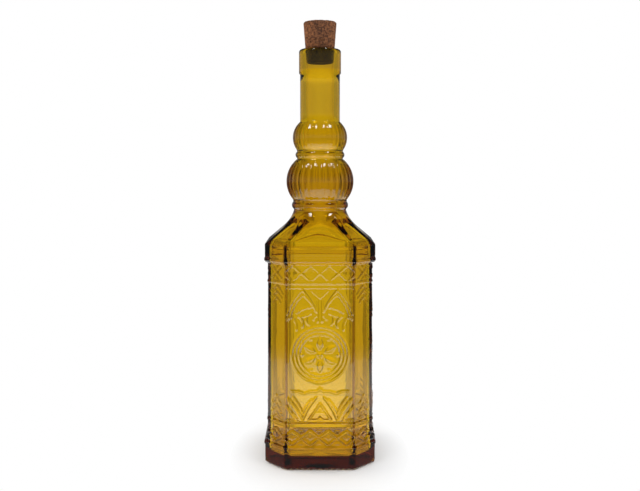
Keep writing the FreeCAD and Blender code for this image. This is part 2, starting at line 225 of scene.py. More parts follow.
NECK = traced([
    (RING_HALF, SHOULDER_TOP + RING_FOOT_RISE, 0, 2),
    (RING_HALF, RING_BOTTOM, RING_CURVE, 7),
    (LOWER_BULB_FOOT_HALF, RING_TOP, 0, 2),
    (LOWER_BULB_FOOT_HALF, LOWER_BULB_BOTTOM, LOWER_BULB_CURVE, 18),
    (LOWER_BULB_HEAD_HALF, LOWER_BULB_TOP, 0, 1),
    (SLIM_HALF, SLIM_BOTTOM - SLIM_FOOT_DROP, 0, 1),
    (SLIM_HALF, SLIM_BOTTOM, SLIM_CURVE, 6),
    (SLIM_HALF, SLIM_TOP, 0, 1),
    (UPPER_BULB_FOOT_HALF, UPPER_BULB_BOTTOM, UPPER_BULB_CURVE, 14),
    (UPPER_BULB_HEAD_HALF, UPPER_BULB_TOP - NECK_STEP, 0, 1),
    (NECK_HALF, UPPER_BULB_TOP + NECK_STEP, 0, 6),
    (NECK_HALF, FINISH_BOTTOM - NECK_STEP, 0, 1),
    (FINISH_HALF, FINISH_BOTTOM + FINISH_STEP, 0, 5),
    (FINISH_HALF, MOUTH - FINISH_ROUND, FINISH_ROUND, 5),
    (FINISH_HALF - FINISH_ROUND, MOUTH, 0, 2),
    (MOUTH_HALF + MOUTH_EDGE, MOUTH, 0, 1),
])
INSIDE = traced([
    (MOUTH_HALF, MOUTH - MOUTH_EDGE, 0, 4),
    (BORE_HALF, MOUTH_BOTTOM, 0, 8),
    (BORE_HALF, UPPER_BULB_TOP, UPPER_BORE_CURVE, 12),
    (SLIM_BORE_HALF, SLIM_TOP, 0, 3),
    (SLIM_BORE_HALF, SLIM_BOTTOM, LOWER_BORE_CURVE, 16),
    (LOWER_BORE_HALF, RING_TOP, 0, 6),
    (LOWER_BORE_HALF, VAULT_TOP, VAULT_CURVE, 10),
    (VAULT_BEND_HALF, VAULT_BEND, 0, 10),
    (CAVITY_TOP_HALF, EAVES, 0, 4),
    (CAVITY_TOP_HALF, FRIEZE_BOTTOM, 0, 20),
    (CAVITY_HALF, FLOOR + CAVITY_ROUND, CAVITY_ROUND, 8),
    (CAVITY_HALF - CAVITY_ROUND, FLOOR, 0, 6),
    (0, FLOOR, 0, 1),
])


# ---------------------------------------------------------------- relief

# What the height of every rounded line is multiplied by.
RIB_RISE = 1.35

# How far above and below a stroke's ends the stroke is still looked for.
STROKE_REACH = 3

# The back, the left side and the corner between them are pressed shallower, and their medallion is bare, so
# that they don't blur the front's drawing through the glass.
SHALLOW_SIDES = (4, 5, 6)
SHALLOW_SHARE = 0.4

# The drawing on one half of a broad face: (start, end, sag, half width, height), x from its centre line.
FACE_STROKES = [
    # moulding under the upper bead and the panel's upright edge
    ((0.0, 133.0), (24.0, 133.0), 0, 0.9, 0.35),
    ((22.6, 131.5), (22.6, 112.0), 0, 0.8, 0.30),
    # the pointed arch, in two lines
    ((12.4, 131.2), (23.2, 113.7), 1.6, 1.0, 0.50),
    ((12.4, 131.2), (2.6, 115.8), -0.8, 1.0, 0.50),
    ((12.4, 128.0), (21.0, 113.0), 1.3, 0.9, 0.45),
    ((12.4, 128.0), (4.6, 118.8), -0.7, 0.9, 0.45),
    ((20.4, 111.6), (23.0, 110.2), 0.6, 1.2, 0.45),
    # the stem between the arches
    ((0.0, 125.5), (5.6, 130.6), 0, 0.9, 0.35),
    ((1.6, 124.0), (1.6, 108.5), 0, 0.9, 0.40),
    ((1.6, 113.0), (4.6, 110.0), 0.7, 0.9, 0.40),
    # the leaf under the arch
    ((6.8, 118.9), (16.6, 115.0), 0.9, 1.0, 0.50),
    ((6.4, 114.8), (15.4, 112.2), -0.8, 0.9, 0.45),
    ((15.4, 112.2), (12.6, 104.8), -1.6, 1.0, 0.50),
    ((9.4, 111.6), (8.0, 106.4), 1.0, 0.9, 0.40),
    ((18.6, 110.0), (17.0, 102.5), -0.8, 0.8, 0.30),
    # the fringe over the chevrons
    ((20.5, 57.8), (11.5, 56.0), -0.9, 0.8, 0.60),
    ((11.5, 56.0), (3.0, 57.6), -0.9, 0.8, 0.60),
    ((3.0, 57.6), (0.0, 60.2), 0.4, 0.9, 0.60),
    # the chevrons, in two lines
    ((22.9, 52.6), (12.5, 37.4), -0.8, 1.0, 0.72),
    ((12.5, 37.4), (2.8, 53.2), -0.8, 1.0, 0.72),
    ((19.3, 53.2), (12.5, 41.5), -0.6, 0.9, 0.68),
    ((12.5, 41.5), (6.0, 51.6), -0.6, 0.9, 0.68),
    # the triangle between them and the half one in the corner
    ((0.0, 48.9), (8.4, 36.6), 0, 0.9, 0.68),
    ((8.4, 36.6), (3.0, 36.6), 0, 0.8, 0.52),
    ((3.0, 36.6), (0.0, 39.2), 0.5, 0.8, 0.60),
    ((0.0, 43.4), (3.2, 43.4), 0, 0.8, 0.45),
    ((24.0, 47.1), (16.2, 36.6), 0, 0.9, 0.60),
    ((24.0, 36.6), (16.2, 36.6), 0, 0.8, 0.52),
]

# The drawing on one half of a cut corner's face.
CORNER_STROKES = [
    ((0.0, 133.5), (5.8, 128.0), 0.6, 0.9, 0.45),
    ((0.0, 129.0), (5.2, 124.6), 0.6, 0.9, 0.40),
    ((0.0, 124.6), (3.8, 121.4), 0.5, 0.8, 0.35),
    ((6.4, 133.0), (6.4, 60.0), 0, 0.8, 0.30),
    ((0.0, 53.0), (4.6, 47.5), -0.6, 0.9, 0.45),
    ((0.0, 47.0), (5.4, 41.5), -0.6, 0.9, 0.45),
    ((0.0, 41.2), (5.8, 36.8), -0.5, 0.8, 0.40),
]

# The medallion: its rings as (radius, half width, height), then the boss, leaves and dots of its rosette.
MEDALLION_HEIGHT = 84.5
MEDALLION_RADIUS = 21.5
MEDALLION_RINGS = ((20.2, 1.2, 0.55), (17.6, 1.1, 0.50), (15.0, 1.0, 0.45))
ROSETTE_RADIUS = 14.0
BOSS_RADIUS = 2.4
BOSS_RISE = 0.7
LEAVES = 6
LEAF_MIDDLE = 8.3
LEAF_REACH = 5.0
LEAF_HALF = 2.7
LEAF_EDGE = 1.5
LEAF_RISE = 0.75
DOT_PLACE = 13.0
DOT_RADIUS = 1.3
DOT_RISE = 0.4

# The two bands of crossing ribs, as (middle, half height, height of a rib), and how wide their diamonds are.
FRIEZE = (143.4, 5.7, 0.5)
FOOT_BAND = (24.0, 4.8, 0.72)
FRIEZE_PERIOD = 13.3
FOOT_PERIOD = 13.1
FOOT_PHASE = -0.6
CORNER_PERIOD = 14.0
BAND_MARGIN = 0.5
LATTICE_RIB = 1.1
PILLOW_RISE = 0.25
PILLOW_EDGE = (0.9, 3.0)
FOOT_BAND_SPAN = (FOOT_BEAD_TOP + 0.8, FLARE_TOP + 0.2)

# The raised frame on each broad face of the collar.
FRAME_SPAN = (COLLAR_FACE, COLLAR_TOP - 0.6)
FRAME_HALF = 22.6
FRAME_MIDDLE = 158.4
FRAME_REACH = 3.5
FRAME_LINE = 0.8
FRAME_RISE = 0.25

# The short bars under the foot's edge, and how strong a wave has to be for one to start and to be full.
KNURL_TOP = 1.8
KNURL_PITCH = 4.2
KNURL_DEPTH = 0.8
KNURL_EDGE = (0.4, 0.7)

# The flutes round the bulbs, which start and are full at these shares of a bulb's height from either end.
FLUTES = 32
LOWER_FLUTE_DEPTH = 0.8
UPPER_FLUTE_DEPTH = 0.32
FLUTE_START, FLUTE_FULL = 0.02, 0.2

# The unevenness of the inside: its height, its waves round the bottle and its length up it. The middle of
# the floor has none.
WAVE_RISE = 0.25
WAVES_ROUND = 2.2
WAVE_LENGTH = 16
STILL_RADIUS = 5


def smooth(edge0, edge1, value):
    """0 below edge0, 1 above edge1 and an even S between them; edge0 may be the larger."""
    t = min(max((value - edge0) / (edge1 - edge0), 0.0), 1.0)
    return t * t * (3 - 2 * t)


def stroke_distance(point, stroke):
    """How far a point is from a straight stroke, or from a bowed one whose middle is off its chord by sag."""
    start, end, sag = Vector(stroke[0]), Vector(stroke[1]), stroke[2]
    chord = end - start
    if sag == 0:
        t = min(max((point - start).dot(chord) / chord.length_squared, 0.0), 1.0)
        return (point - start - chord * t).length
    side = Vector((-chord.y, chord.x)).normalized()
    radius = (chord.length_squared / 4 + sag**2) / (2 * abs(sag))
    centre = (start + end) / 2 + side * (sag - math.copysign(radius, sag))
    out = point - centre
    middle = side * math.copysign(1, sag)
    reach = math.asin(min(chord.length / 2 / radius, 1.0))
    if radius < chord.length / 2 or (out.length > 0 and out.angle(middle) <= reach):
        return abs(out.length - radius)
    return min((point - start).length, (point - end).length)


def rib(distance, half_width, height):
    """A raised rounded line."""
    return RIB_RISE * height * smooth(half_width, 0, distance) if distance < half_width else 0.0


def drawn(strokes, x, z):
    """Height of a drawing of strokes, which is the same on both halves of its face."""
    point = Vector((abs(x), z))
    height = 0.0
    for *stroke, width, rise in strokes:
        low, high = sorted((stroke[0][1], stroke[1][1]))
        if low - STROKE_REACH < z < high + STROKE_REACH:
            height = max(height, rib(stroke_distance(point, stroke), width, rise))
    return height


def medallion(x, z, bare):
    """Three rings, round a rosette of six leaves unless they are bare."""
    place = Vector((x, z - MEDALLION_HEIGHT))
    far = place.length
    if far > MEDALLION_RADIUS:
        return 0.0
    height = max(rib(abs(far - radius), width, rise) for radius, width, rise in MEDALLION_RINGS)
    if bare:
        return height
    height = max(height, rib(far, BOSS_RADIUS, BOSS_RISE))
    if 0.1 < far < ROSETTE_RADIUS:
        sector = 2 * math.pi / LEAVES
        angle = abs((math.atan2(place.x, place.y) + sector / 2) % sector - sector / 2)
        folded = Vector((far * math.cos(angle), far * math.sin(angle)))
        inside = LEAF_HALF * (1 - ((folded.x - LEAF_MIDDLE) / LEAF_REACH) ** 2) - abs(folded.y)
        height = max(height, LEAF_RISE * smooth(0, LEAF_EDGE, inside))
        dot = Vector((DOT_PLACE * math.cos(sector / 2), DOT_PLACE * math.sin(sector / 2)))
        height = max(height, rib((folded - dot).length, DOT_RADIUS, DOT_RISE))
    return height


def lattice(x, z, band, period, phase):
    """Crossing ribs that leave pillowed diamonds between them."""
    middle, reach, rise = band
    if abs(z - middle) > reach + BAND_MARGIN:
        return 0.0
    across = (x - phase) / period
    up = (z - middle) / (2 * reach)
    lean = math.hypot(1 / period, 1 / (2 * reach))
    near = min(abs((s + 0.5) % 1.0 - 0.5) / lean for s in (across + up, across - up))
    return max(rib(near, LATTICE_RIB, rise), PILLOW_RISE * smooth(*PILLOW_EDGE, near))


def face_relief(x, z, bare):
    """Height of the pressed drawing on a broad face."""
    if FRIEZE_BOTTOM < z < FRIEZE_TOP:
        return lattice(x, z, FRIEZE, FRIEZE_PERIOD, 0)
    if FOOT_BAND_SPAN[0] < z < FOOT_BAND_SPAN[1]:
        return lattice(x, z, FOOT_BAND, FOOT_PERIOD, FOOT_PHASE)
    if FRAME_SPAN[0] < z < FRAME_SPAN[1]:
        inset = max(abs(x) - FRAME_HALF, abs(z - FRAME_MIDDLE) - FRAME_REACH)
        return rib(abs(inset), FRAME_LINE, FRAME_RISE)
    if PANEL_BOTTOM < z < PANEL_TOP:
        return max(medallion(x, z, bare), drawn(FACE_STROKES, x, z))
    return 0.0


def corner_relief(x, z):
    """Height of the pressed drawing on a cut corner's face."""
    if FRIEZE_BOTTOM < z < FRIEZE_TOP:
        return lattice(x, z, FRIEZE, CORNER_PERIOD, 0)
    if FOOT_BAND_SPAN[0] < z < FOOT_BAND_SPAN[1]:
        return lattice(x, z, FOOT_BAND, CORNER_PERIOD, CORNER_PERIOD / 2)
    if PANEL_BOTTOM < z < PANEL_TOP:
        return drawn(CORNER_STROKES, x, z)
    return 0.0


# A lift takes a side's number, the place across it, the height and the angle round the bottle's axis, and
# says how far the skin moves outwards there, and how far up.

def panel_lift(facet, x, z, angle):
    """The pressed drawing, and the short bars round the edge under the foot that the bottle stands on."""
    if z < KNURL_TOP:
        bars = 0.5 + 0.5 * math.cos(2 * math.pi * x / KNURL_PITCH)
        return 0.0, KNURL_DEPTH * smooth(*KNURL_EDGE, bars) * (1 - z / KNURL_TOP)
    shallow = facet in SHALLOW_SIDES
    height = corner_relief(x, z) if facet % 2 else face_relief(x, z, shallow)
    return height * (SHALLOW_SHARE if shallow else 1.0), 0.0


def flute_lift(bottom, top, depth):
    """The lift of hollow flutes that fade out at both ends of a bulb."""
    def lift(facet, x, z, angle):
        share = (z - bottom) / (top - bottom)
        fade = smooth(FLUTE_START, FLUTE_FULL, share) * smooth(1 - FLUTE_START, 1 - FLUTE_FULL, share)
        hollow = abs(math.cos(angle * FLUTES / 2))
        return -depth * fade * hollow, 0.0
    return lift


def inner_wave(facet, x, z, angle):
    """The slow unevenness of the blown inside."""
    spot = Vector((math.sin(angle) * WAVES_ROUND, math.cos(angle) * WAVES_ROUND, z / WAVE_LENGTH))
    return WAVE_RISE * noise.noise(spot), 0.0


# ---------------------------------------------------------------- skins

ROOT2 = math.sqrt(2)
FOOT_RATIO = (FOOT_HALF + CORNER_EXTRA) / FOOT_HALF
COLLAR_RATIO = (COLLAR_HALF + CORNER_EXTRA) / COLLAR_HALF
CAVITY_RATIO = (CAVITY_HALF + CORNER_EXTRA - CAVITY_CORNER_LESS) / CAVITY_HALF


def column_place(number, columns):
    """Which side of the octagon a column is on, how far across it from -1 to 1, and its angle."""
    for facet, count in enumerate(columns):
        if number <= count:
            break
        number -= count
    across = 2 * number / count - 1
    return facet, across, facet * math.pi / 4 + across * (CUT_SPAN if facet % 2 else BROAD_SPAN)


def ring_point(near, side, half, roundness, facet, angle, relief):
    """A point of one level, near from the axis and side across its facet, drawn towards a circle of the
    half width by roundness. Angles run from the front, anticlockwise seen from above; relief lifts the
    point off its face."""
    if roundness > 0:
        bend = math.atan2(side, near)
        reach = math.hypot(side, near)
        true_angle = facet * math.pi / 4 + bend
        turn = true_angle + (angle - true_angle) * roundness
        reach += (half - reach) * roundness + relief
        return Vector((reach * math.sin(turn), -reach * math.cos(turn)))
    turned = Matrix.Rotation(facet * math.pi / 4, 2)
    return turned @ Vector((side, -(near + relief)))


def skin(bm, levels, columns):
    """Adds a closed ring of faces with one row per level. A level is (half, z, diagonal, roundness, lift):
    half is over the broad faces, diagonal is over the cut corners, and lift may be None. Returns the rows
    of vertices."""
    total = sum(columns)
    made = bmesh.ops.create_grid(bm, x_segments=total, y_segments=len(levels) - 1, size=1.0)
    rows = [[] for _ in levels]
    for vertex in made["verts"]:
        column = round((vertex.co.x + 1) / 2 * total)
        row = round((vertex.co.y + 1) / 2 * (len(levels) - 1))
        half, z, diagonal, roundness, lift = levels[row]
        facet, across, angle = column_place(column % total, columns)
        near, far = (diagonal, half) if facet % 2 else (half, diagonal)
        side = across * (ROOT2 * far - near)
        relief, rise = lift(facet, side, z, angle) if lift else (0.0, 0.0)
        spot = ring_point(near, side, half, roundness, facet, angle, relief)
        vertex.co = Vector((spot.x, spot.y, z + rise))
        rows[row].append(vertex)
    return rows


def outer_levels():
    """The levels of the underside, which is round up to the punt's edge, and of the square part."""
    under = [
        (x, z, x * FOOT_RATIO, 1.0 if x <= PUNT_RADIUS else 0.0, panel_lift if x > RIM_RADIUS else None)
        for x, z in UNDERSIDE[:-1]
    ]
    body = [(x, z, x + CORNER_EXTRA, 0.0, panel_lift) for x, z in BODY]
    return under + body


def neck_levels():
    """The levels of the shoulder, which turns from eight-sided to round, and of the neck."""
    lower = flute_lift(LOWER_BULB_BOTTOM, LOWER_BULB_TOP, LOWER_FLUTE_DEPTH)
    upper = flute_lift(UPPER_BULB_BOTTOM, UPPER_BULB_TOP, UPPER_FLUTE_DEPTH)
    levels = [(x, z, x * COLLAR_RATIO, smooth(*SHOULDER_TURN, z), None) for x, z in SHOULDER]
    for x, z in NECK:
        lift = None
        if LOWER_BULB_BOTTOM < z < LOWER_BULB_TOP:
            lift = lower
        if UPPER_BULB_BOTTOM < z < UPPER_BULB_TOP:
            lift = upper
        levels.append((x, z, x, 1.0, lift))
    return levels


def inner_levels():
    """The levels of the inside, from the mouth down to the middle of the floor."""
    levels = []
    for x, z in INSIDE:
        wave = inner_wave if z < MOUTH_BOTTOM and x > STILL_RADIUS else None
        levels.append((x, z, x * CAVITY_RATIO, smooth(*VAULT_TURN, z), wave))
    return levels


def ring_edges(row):
    """The edges that join the vertices of one row."""
    members = {v for v in row if v.is_valid}
    return list({e for v in members for e in v.link_edges if e.other_vert(v) in members})


def as_object(bm, name, node):
    """Closes a shape, turns it to metres at its node's place and makes it a smooth object."""
    bmesh.ops.remove_doubles(bm, verts=bm.verts, dist=WELD)
    bmesh.ops.dissolve_degenerate(bm, edges=bm.edges, dist=SLIVER)
    bmesh.ops.recalc_face_normals(bm, faces=bm.faces)
    low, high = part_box(node)
    bmesh.ops.scale(bm, vec=(MM, MM, MM), verts=bm.verts)
    bmesh.ops.translate(bm, vec=((low.x + high.x) / 2, (low.y + high.y) / 2, low.z), verts=bm.verts)
    for face in bm.faces:
        face.smooth = True
    mesh = bpy.data.meshes.new(name)
    bm.to_mesh(mesh)
    bm.free()
    piece = bpy.data.objects.new(name, mesh)
    bpy.context.scene.collection.objects.link(piece)
    return piece


def make_glass():
    """The bottle as one closed skin: outside, neck and inside, joined at the collar and at the mouth."""
    bm = bmesh.new()
    outer = skin(bm, outer_levels(), BODY_COLUMNS)
    neck = skin(bm, neck_levels(), NECK_COLUMNS)
    inner = skin(bm, inner_levels(), INNER_COLUMNS)
    bmesh.ops.remove_doubles(bm, verts=bm.verts, dist=WELD)
    for lower, upper in ((outer[-1], neck[0]), (neck[-1], inner[0])):
        edges = ring_edges(lower) + ring_edges(upper)
        bmesh.ops.bridge_loops(bm, edges=edges)
    return as_object(bm, "pressed_amber_glass", "bottle")


# ---------------------------------------------------------------- cork, in millimetres

CORK_BOTTOM_HALF = 10.0
CORK_TOP_HALF = 12.3
CORK_LENGTH = 30.2
CORK_GRIPPED = 10.5
CORK_EDGE = 0.8
CORK_EDGE_TAPER = 0.06
CORK_STEPS = 128
CORK_WELD = 0.01

# How far its skin is sunk: all over, by its grain, in a pore, and at most where the neck grips it.
SKIN_SINK = 0.05
GRAIN_SINK = 0.08
PORE_SINK = 0.9
GRIPPED_SINK = 0.25

# Waves of its grain and its pores to a millimetre, with the pores closer up the cork than across it.
GRAIN_WAVES = 0.55
PORE_WAVES_ACROSS = 0.5
PORE_WAVES_UP = 0.8
PORE_SHIFT = Vector((7, 3, 1))
PORE_EDGE = (0.34, 0.62)


def cork_sink(spot):
    """How far the cork's skin is sunk at a spot."""
    rough = noise.fractal(spot * GRAIN_WAVES, 1.0, 2.0, 3)
    place = Vector((spot.x * PORE_WAVES_ACROSS, spot.y * PORE_WAVES_ACROSS, spot.z * PORE_WAVES_UP))
    pore = smooth(*PORE_EDGE, noise.noise(place + PORE_SHIFT))
    sink = max(SKIN_SINK + GRAIN_SINK * max(rough, -1) + PORE_SINK * pore, 0)
    return min(sink, GRIPPED_SINK) if spot.z < CORK_GRIPPED else sink


def make_cork():
    """The tapered stopper, turned from its outline, with pores sunk into its side and its top."""
    bm = bmesh.new()
    outline = traced([
        (0.0, 0.0, 0, 12),
        (CORK_BOTTOM_HALF - CORK_EDGE, 0.0, 0, 2),
        (CORK_BOTTOM_HALF + CORK_EDGE_TAPER, CORK_EDGE, 0, 48),
        (CORK_TOP_HALF - CORK_EDGE_TAPER, CORK_LENGTH - CORK_EDGE, 0, 2),
        (CORK_TOP_HALF - CORK_EDGE, CORK_LENGTH, 0, 16),
        (0.0, CORK_LENGTH, 0, 1),
    ])
    line = [bm.verts.new((x, 0, z)) for x, z in outline]
    edges = [bm.edges.new(pair) for pair in zip(line, line[1:])]
    bmesh.ops.spin(
        bm, geom=line + edges, axis=(0, 0, 1), cent=(0, 0, 0), angle=2 * math.pi, steps=CORK_STEPS,
        use_merge=True,
    )
    bmesh.ops.remove_doubles(bm, verts=bm.verts, dist=CORK_WELD)
    for vertex in bm.verts:
        spot = vertex.co.copy()
        outward = Vector((spot.x, spot.y, 0))
        if outward.length > 1 and CORK_EDGE / 2 < spot.z < CORK_LENGTH - CORK_EDGE / 2:
            vertex.co -= outward.normalized() * cork_sink(spot)
        elif spot.z >= CORK_LENGTH - CORK_WELD:
            vertex.co.z -= cork_sink(spot)
    return as_object(bm, "tapered_cork", "cork")


# ---------------------------------------------------------------- materials

def colour(code):
    """An sRGB hex colour as the linear one that a socket takes."""
    parts = [int(code[i:i + 2], 16) / 255 for i in (1, 3, 5)]
    return (*(p / 12.92 if p <= 0.04045 else ((p + 0.055) / 1.055) ** 2.4 for p in parts), 1.0)


def new_material(name):
    """An empty material and its node tree."""
    material = bpy.data.materials.new(name)
    material.use_nodes = True
    material.node_tree.nodes.clear()
    return material, material.node_tree


def add(tree, kind, settings=None, **links):
    """A node with its settings. A link's name is an input's, with _ for a space, or i and the input's
    number, and its value is a socket or a plain value."""
    node = tree.nodes.new(kind)
    for key, value in (settings or {}).items():
        setattr(node, key, value)
    for key, value in links.items():
        numbered = key[0] == "i" and key[1:].isdigit()
        socket = node.inputs[int(key[1:]) if numbered else key.replace("_", " ")]
        if isinstance(value, bpy.types.NodeSocket):
            tree.links.new(value, socket)
        else:
            socket.default_value = value
    return node


# The pressed skin's waves; the cork's grain and the space between its pores; the heights over which painted
# # shade darkens the cork inside the neck, and how much of its colour that painted shade leaves below them.
SKIN_WAVE = 7
GRAIN_WIDTH = 1.2
PORE_SPACING = 2.2
NECK_SHADE_SPAN = (MOUTH - 1.0, MOUTH + 1.5)
NECK_SHADE_LEVEL = 0.06


def amber_glass():
    """Soda-lime container glass coloured amber by iron and sulphur, pressed in an iron mould.

    It is lightly tinted at its skin and deepens with thickness. The mould leaves the skin faintly wavy,
    with waves about 7 mm long and a fire-polished gloss."""
    material, tree = new_material("amber_soda_lime_glass_pressed")
    place = add(tree, "ShaderNodeTexCoord")
    waves = add(
        tree, "ShaderNodeTexNoise", Vector=place.outputs["Object"], Scale=1 / (SKIN_WAVE * MM), Detail=2.0,
    )
    bump = add(tree, "ShaderNodeBump", Height=waves.outputs["Fac"], Strength=0.15, Distance=0.2 * MM)
    glass = add(
        tree, "ShaderNodeBsdfPrincipled", Normal=bump.outputs["Normal"], Base_Color=colour("#FFF18E"),
        Roughness=0.0, IOR=1.52, Transmission_Weight=1.0,
    )
    depth = add(tree, "ShaderNodeVolumeAbsorption", Color=colour("#F5EC5C"), Density=410.0)
    add(tree, "ShaderNodeOutputMaterial", Surface=glass.outputs["BSDF"], Volume=depth.outputs["Volume"])
    return material


def cork_material():
    """Natural cork, punched from the bark: brown grain with deep brown pores 2 mm apart, with painted shade
    that darkens the part inside the neck. The real grain is too fine to show, so it is drawn 1.2 mm wide."""
    material, tree = new_material("natural_cork_punched")
    where = add(tree, "ShaderNodeTexCoord").outputs["Object"]
    grain = add(
        tree, "ShaderNodeTexNoise", Vector=where, Scale=1 / (GRAIN_WIDTH * MM), Detail=6.0, Roughness=0.65,
    )
    body = add(tree, "ShaderNodeValToRGB", Fac=grain.outputs["Fac"])
    body.color_ramp.elements[0].position = 0.40
    body.color_ramp.elements[0].color = colour("#40220F")
    body.color_ramp.elements[1].position = 0.60
    body.color_ramp.elements[1].color = colour("#855330")
    pores = add(
        tree, "ShaderNodeTexVoronoi", Vector=where, Scale=1 / (PORE_SPACING * MM), Randomness=1.0,
    )
    bark_share = add(
        tree, "ShaderNodeMapRange", Value=pores.outputs["Distance"], From_Min=0.12, From_Max=0.34,
    )
    mixed = add(
        tree, "ShaderNodeMix", {"data_type": "RGBA"}, i0=bark_share.outputs["Result"],
        i6=colour("#2E1A0E"), i7=body.outputs["Color"],
    )
    bump = add(tree, "ShaderNodeBump", Height=grain.outputs["Fac"], Strength=0.5, Distance=0.3 * MM)
    height = add(tree, "ShaderNodeSeparateXYZ", Vector=where).outputs["Z"]
    # Painted shade: below the mouth the cork's colour is darkened, standing in for the shade inside the neck.
    painted_neck_shade = add(
        tree, "ShaderNodeMapRange", Value=height, From_Min=NECK_SHADE_SPAN[0] * MM, From_Max=NECK_SHADE_SPAN[1] * MM,
        To_Min=NECK_SHADE_LEVEL, To_Max=1.0,
    )
    neck_shaded_colour = add(
        tree, "ShaderNodeVectorMath", {"operation": "SCALE"}, i0=mixed.outputs[2],
        Scale=painted_neck_shade.outputs["Result"],
    )
    bark = add(
        tree, "ShaderNodeBsdfPrincipled", Base_Color=neck_shaded_colour.outputs[0], Normal=bump.outputs["Normal"],
        Roughness=0.85,
    )
    add(tree, "ShaderNodeOutputMaterial", Surface=bark.outputs["BSDF"])
    return material


# ---------------------------------------------------------------- pieces

glass = make_glass()
glass.data.materials.append(amber_glass())
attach(glass, "root")
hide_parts("bottle")

cork = make_cork()
cork.data.materials.append(cork_material())
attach(cork, "root")
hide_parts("cork")

# ---------------------------------------------------------------- floor, in metres

FLOOR_RADIUS = 4.0
FLOOR_SIDES = 96

# The shadow is narrower across than it is deep, and fades to white between these distances.
SHADOW_DRAWN_IN = (1.45, 1.0, 1.0)
SHADOW_FADE = (0.052, 0.10)

# Seen through the glass, the shadowed paper glows, the floor dims with distance down to a level, and eight
# rays of it are darker still. A ray's edge is in radians.
SHADOW_GLOW = 0.65
FAR_FLOOR = (0.16, 0.32)
FAR_LEVEL = 0.75
RAYS = 8
RAY_EDGE = (0.16, 0.29)
RAY_LEVEL = 0.50

# Mirrored in the glass, it is dimmer in the bottle's shade, and dark past the sheet's soft edge.
SHADE_EDGE = (0.11, 0.14)
SHADE_LEVEL = 0.3
SHEET_EDGE = (0.23, 0.45)
BEYOND_LEVEL = 0.1


def floor_seen(tree, where, distance, paper):
    """The floor as the camera sees it, which is shadowed paper that fades to white, and as it is seen
    through the glass, where darker rays give the ribs something to bend."""
    camera_ray = add(tree, "ShaderNodeLightPath").outputs["Is Camera Ray"]
    drawn_in = add(tree, "ShaderNodeVectorMath", {"operation": "MULTIPLY"}, i0=where, i1=SHADOW_DRAWN_IN)
    oval = add(tree, "ShaderNodeVectorMath", {"operation": "LENGTH"}, i0=drawn_in.outputs[0])
    fade = add(
        tree, "ShaderNodeMapRange", Value=oval.outputs["Value"], From_Min=SHADOW_FADE[0],
        From_Max=SHADOW_FADE[1],
    )
    dimming = add(
        tree, "ShaderNodeMapRange", Value=distance, From_Min=FAR_FLOOR[0], From_Max=FAR_FLOOR[1],
        To_Min=1.0, To_Max=FAR_LEVEL,
    )
    parts = add(tree, "ShaderNodeSeparateXYZ", Vector=where)
    azimuth = add(
        tree, "ShaderNodeMath", {"operation": "ARCTAN2"}, i0=parts.outputs["Y"], i1=parts.outputs["X"],
    )
    folded = add(
        tree, "ShaderNodeMath", {"operation": "PINGPONG"}, i0=azimuth.outputs[0], i1=math.pi / RAYS,
    )
    rays = add(
        tree, "ShaderNodeMapRange", {"interpolation_type": "SMOOTHSTEP"}, Value=folded.outputs[0],
        From_Min=RAY_EDGE[0], From_Max=RAY_EDGE[1], To_Min=1.0, To_Max=RAY_LEVEL,
    )
    far_glow = add(
        tree, "ShaderNodeMath", {"operation": "MULTIPLY"}, i0=dimming.outputs["Result"],
        i1=rays.outputs["Result"],
    )
    far_level = add(
        tree, "ShaderNodeMix", {"data_type": "FLOAT"}, i0=camera_ray, i2=far_glow.outputs[0], i3=1.0,
    )
    white = add(tree, "ShaderNodeEmission", Strength=far_level.outputs[0])
    near_glow = add(
        tree, "ShaderNodeMath", {"operation": "MULTIPLY"}, i0=rays.outputs["Result"], i1=SHADOW_GLOW,
    )
    near_level = add(
        tree, "ShaderNodeMix", {"data_type": "FLOAT"}, i0=camera_ray, i2=near_glow.outputs[0], i3=0.0,
    )
    glow = add(tree, "ShaderNodeEmission", Strength=near_level.outputs[0])
    lit = add(tree, "ShaderNodeAddShader", i0=paper, i1=glow.outputs[0])
    shown = add(
        tree, "ShaderNodeMixShader", i0=fade.outputs["Result"], i1=lit.outputs[0], i2=white.outputs[0],
    )
    return shown.outputs[0]


def floor_mirrored(tree, distance):
    """The floor as the glass mirrors it."""
    sheet = add(
        tree, "ShaderNodeMapRange", {"interpolation_type": "SMOOTHSTEP"}, Value=distance,
        From_Min=SHEET_EDGE[0], From_Max=SHEET_EDGE[1], To_Min=1.0, To_Max=BEYOND_LEVEL,
    )
    shaded = add(
        tree, "ShaderNodeMapRange", Value=distance, From_Min=SHADE_EDGE[0], From_Max=SHADE_EDGE[1],
        To_Min=SHADE_LEVEL, To_Max=1.0,
    )
    level = add(
        tree, "ShaderNodeMath", {"operation": "MULTIPLY"}, i0=sheet.outputs["Result"],
        i1=shaded.outputs["Result"],
    )
    return add(tree, "ShaderNodeEmission", Strength=level.outputs[0]).outputs[0]


def floor_paper():
    """Matt white paper, which is what the camera sees round the foot and what lights the cork. The glass
    shows it with a glow added near the foot and as plain levels further off, and mirrors plain levels."""
    material, tree = new_material("white_paper_floor")
    where = add(tree, "ShaderNodeTexCoord").outputs["Object"]
    distance = add(tree, "ShaderNodeVectorMath", {"operation": "LENGTH"}, i0=where).outputs["Value"]
    paper = add(tree, "ShaderNodeBsdfDiffuse", Color=colour("#D2D2D2")).outputs[0]
    path = add(tree, "ShaderNodeLightPath")
    unseen = add(
        tree, "ShaderNodeMixShader", i0=path.outputs["Is Glossy Ray"], i1=paper,
        i2=floor_mirrored(tree, distance),
    )
    seen = add(
        tree, "ShaderNodeMath", {"operation": "MAXIMUM"}, i0=path.outputs["Is Camera Ray"],
        i1=path.outputs["Is Transmission Ray"],
    )
    pick = add(
        tree, "ShaderNodeMixShader", i0=seen.outputs[0], i1=unseen.outputs[0],
        i2=floor_seen(tree, where, distance, paper),
    )
    add(tree, "ShaderNodeOutputMaterial", Surface=pick.outputs[0])
    return material


